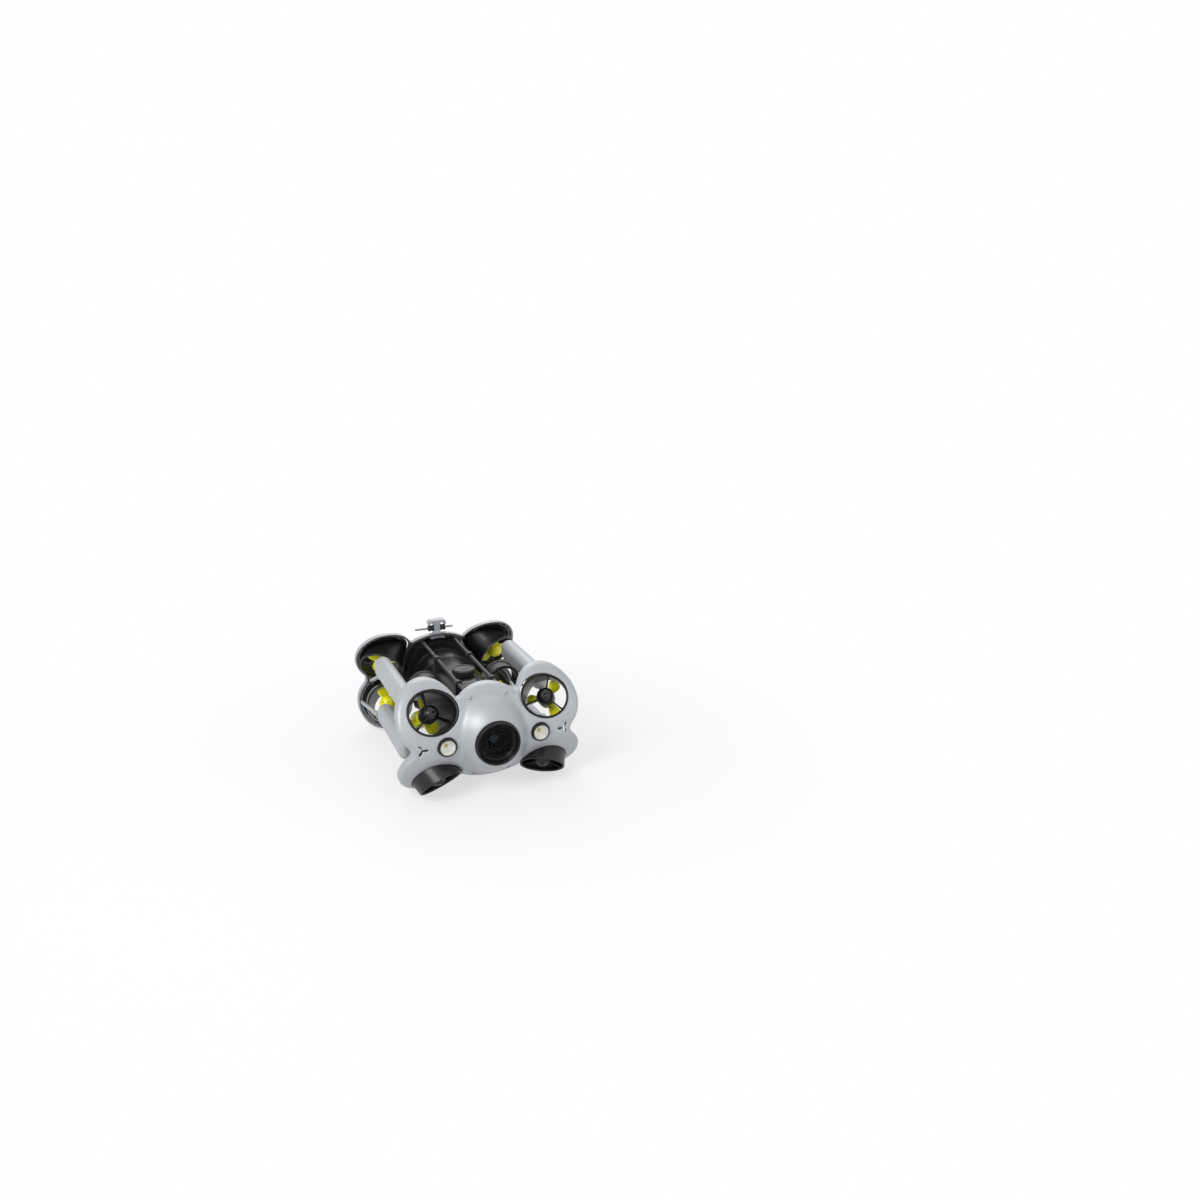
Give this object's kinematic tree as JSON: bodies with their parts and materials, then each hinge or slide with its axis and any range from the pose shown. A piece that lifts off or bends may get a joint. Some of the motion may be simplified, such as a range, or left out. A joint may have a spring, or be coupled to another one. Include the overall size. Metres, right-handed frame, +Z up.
{
  "type": "underwater inspection rov",
  "caption": "Underwater inspection vehicle with silver lobed end shells, vectored ducted thrusters, a black pressure hull, side beams, a front camera and lamps.",
  "frame": {"origin": "middle of the vehicle in plan, on the ground plane under the lower duct rims", "axes": "+Z up, -Y towards the camera at the nose, +Y towards the tether socket at the stern, +X to the right seen from the front"},
  "size_m": [0.268, 0.38, 0.1739],
  "materials": {
    "shell_silver": "fine sand-blasted silver, satin",
    "beam_silver": "fine sand-blasted silver, satin",
    "duct_black": "dark charcoal, semi gloss",
    "motor_black": "dark charcoal, semi gloss",
    "propeller_yellow": "bright yellow, semi gloss",
    "liner_black": "black, fine grain",
    "hull_black": "black anodised, satin",
    "cap_aluminium": "black anodised",
    "seal_rubber": "smooth rubber",
    "battery_wrap": "dark blue shrink wrap",
    "board_green": "circuit board",
    "bezel_black": "black anodised, satin",
    "window_glass": "clear with a dark coating",
    "camera_black": "flat black",
    "lamp_dark_metal": "turned, dark",
    "reflector_white": "white",
    "lens_glass": "clear",
    "chip_yellow": "yellow phosphor",
    "fitting_black": "black, fine grain",
    "conduit_black": "smooth black",
    "steel_hardware": "plain",
    "roller_rubber": "black",
    "socket_steel": "turned"
  },
  "bodies": {
    "vehicle": {"battery_pack": "battery_wrap", "bracket_pin": "steel_hardware", "bracket_rollers": "roller_rubber", "camera_bezel": "bezel_black", "camera_module": "camera_black", "camera_window": "window_glass", "conduit_clips": "fitting_black", "conduit_rods": "conduit_black", "duct_front_lower_left": "duct_black", "duct_front_lower_right": "duct_black", "duct_front_upper_left": "duct_black", "duct_front_upper_right": "duct_black", "duct_rear_lower_left": "duct_black", "duct_rear_lower_right": "duct_black", "duct_rear_upper_left": "duct_black", "duct_rear_upper_right": "duct_black", "electronics_tray": "board_green", "flange_screws": "steel_hardware", "front_end_cap": "cap_aluminium", "front_shell": "shell_silver", "hull_saddle_left": "fitting_black", "hull_saddle_right": "fitting_black", "lamp_chips": "chip_yellow", "lamp_housing_left": "lamp_dark_metal", "lamp_housing_right": "lamp_dark_metal", "lamp_lens_left": "lens_glass", "lamp_lens_right": "lens_glass", "lamp_reflector_left": "reflector_white", "lamp_reflector_right": "reflector_white", "liner_front_left": "liner_black", "liner_front_right": "liner_black", "liner_rear_left": "liner_black", "liner_rear_right": "liner_black", "motor_front_lower_left": "motor_black", "motor_front_lower_right": "motor_black", "motor_front_upper_left": "motor_black", "motor_front_upper_right": "motor_black", "motor_rear_lower_left": "motor_black", "motor_rear_lower_right": "motor_black", "motor_rear_upper_left": "motor_black", "motor_rear_upper_right": "motor_black", "pressure_hull": "hull_black", "rear_end_cap": "cap_aluminium", "rear_shell": "shell_silver", "seal_rings": "seal_rubber", "side_beam_lower_left": "beam_silver", "side_beam_lower_right": "beam_silver", "side_beam_upper_left": "beam_silver", "side_beam_upper_right": "beam_silver", "tether_socket": "socket_steel", "tow_bracket": "beam_silver"},
    "port_cap_turn": {"port_cap": "fitting_black"},
    "spin_front_lower_left": {"propeller_front_lower_left": "propeller_yellow"},
    "spin_front_lower_right": {"propeller_front_lower_right": "propeller_yellow"},
    "spin_front_upper_left": {"propeller_front_upper_left": "propeller_yellow"},
    "spin_front_upper_right": {"propeller_front_upper_right": "propeller_yellow"},
    "spin_rear_lower_left": {"propeller_rear_lower_left": "propeller_yellow"},
    "spin_rear_lower_right": {"propeller_rear_lower_right": "propeller_yellow"},
    "spin_rear_upper_left": {"propeller_rear_upper_left": "propeller_yellow"},
    "spin_rear_upper_right": {"propeller_rear_upper_right": "propeller_yellow"}
  },
  "joints": [
    {"name": "port_cap_quarter_turn", "type": "hinge", "parent": "vehicle", "child": "port_cap_turn", "pos_m": [0, -0.022, 0.13443], "axis": [0, 0, 1], "range_deg": [0, 90]},
    {"name": "propeller_spin_front_lower_left", "type": "hinge", "parent": "vehicle", "child": "spin_front_lower_left", "pos_m": [-0.08733, -0.13151, 0.03923], "axis": [0.3852, -0.7553, -0.5302], "continuous": true},
    {"name": "propeller_spin_front_lower_right", "type": "hinge", "parent": "vehicle", "child": "spin_front_lower_right", "pos_m": [0.08733, -0.13151, 0.03923], "axis": [-0.3852, -0.7553, -0.5302], "continuous": true},
    {"name": "propeller_spin_front_upper_left", "type": "hinge", "parent": "vehicle", "child": "spin_front_upper_left", "pos_m": [-0.09353, -0.13021, 0.11432], "axis": [0.3852, -0.7553, 0.5302], "continuous": true},
    {"name": "propeller_spin_front_upper_right", "type": "hinge", "parent": "vehicle", "child": "spin_front_upper_right", "pos_m": [0.09353, -0.13021, 0.11432], "axis": [-0.3852, -0.7553, 0.5302], "continuous": true},
    {"name": "propeller_spin_rear_lower_left", "type": "hinge", "parent": "vehicle", "child": "spin_rear_lower_left", "pos_m": [-0.08733, 0.13151, 0.03923], "axis": [0.3852, 0.7553, -0.5302], "continuous": true},
    {"name": "propeller_spin_rear_lower_right", "type": "hinge", "parent": "vehicle", "child": "spin_rear_lower_right", "pos_m": [0.08733, 0.13151, 0.03923], "axis": [-0.3852, 0.7553, -0.5302], "continuous": true},
    {"name": "propeller_spin_rear_upper_left", "type": "hinge", "parent": "vehicle", "child": "spin_rear_upper_left", "pos_m": [-0.09353, 0.13021, 0.11432], "axis": [0.3852, 0.7553, 0.5302], "continuous": true},
    {"name": "propeller_spin_rear_upper_right", "type": "hinge", "parent": "vehicle", "child": "spin_rear_upper_right", "pos_m": [0.09353, 0.13021, 0.11432], "axis": [-0.3852, 0.7553, 0.5302], "continuous": true}
  ]
}
